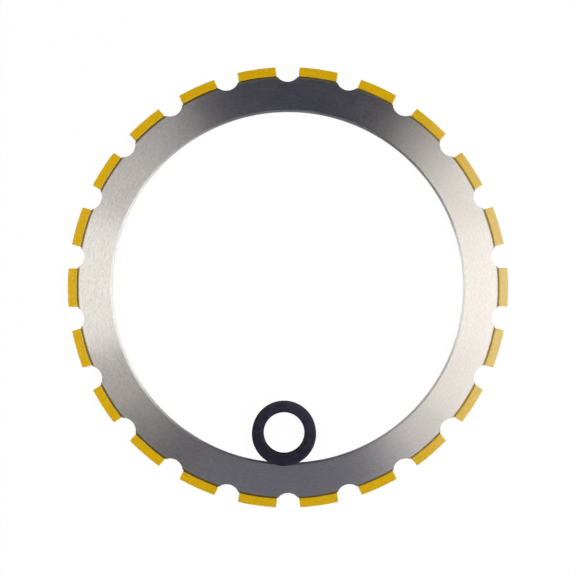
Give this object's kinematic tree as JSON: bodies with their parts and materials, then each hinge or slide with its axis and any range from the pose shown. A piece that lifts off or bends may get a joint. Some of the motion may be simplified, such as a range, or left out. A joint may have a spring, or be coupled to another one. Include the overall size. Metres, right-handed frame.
{
  "type": "concrete saw blade",
  "caption": "Open steel ring blade with painted diamond segments on a slotted rim, a bevelled inner drive edge, and a grooved rubber drive ring seated on that edge.",
  "frame": {"origin": "on the blade's axis, half way through the thickness of the core and of the drive ring", "axes": "+Z along the blade's axis, up as the blade lies; +X through the middle of segment_01; -Y towards the drive ring"},
  "size_m": [0.35, 0.3494, 0.014],
  "materials": {
    "core_steel": "ground steel, brushed in circles round the blade's axis",
    "segment_paint": "thin yellow paint over sintered metal, with a bare dark foot at the weld",
    "drive_rubber": "matte black moulded rubber"
  },
  "bodies": {
    "root": {"core": "core_steel", "segment_01": "segment_paint", "segment_02": "segment_paint", "segment_03": "segment_paint", "segment_04": "segment_paint", "segment_05": "segment_paint", "segment_06": "segment_paint", "segment_07": "segment_paint", "segment_08": "segment_paint", "segment_09": "segment_paint", "segment_10": "segment_paint", "segment_11": "segment_paint", "segment_12": "segment_paint", "segment_13": "segment_paint", "segment_14": "segment_paint", "segment_15": "segment_paint", "segment_16": "segment_paint", "segment_17": "segment_paint", "segment_18": "segment_paint", "segment_19": "segment_paint", "segment_20": "segment_paint", "segment_21": "segment_paint", "segment_22": "segment_paint", "drive_ring": "drive_rubber"}
  },
  "joints": []
}
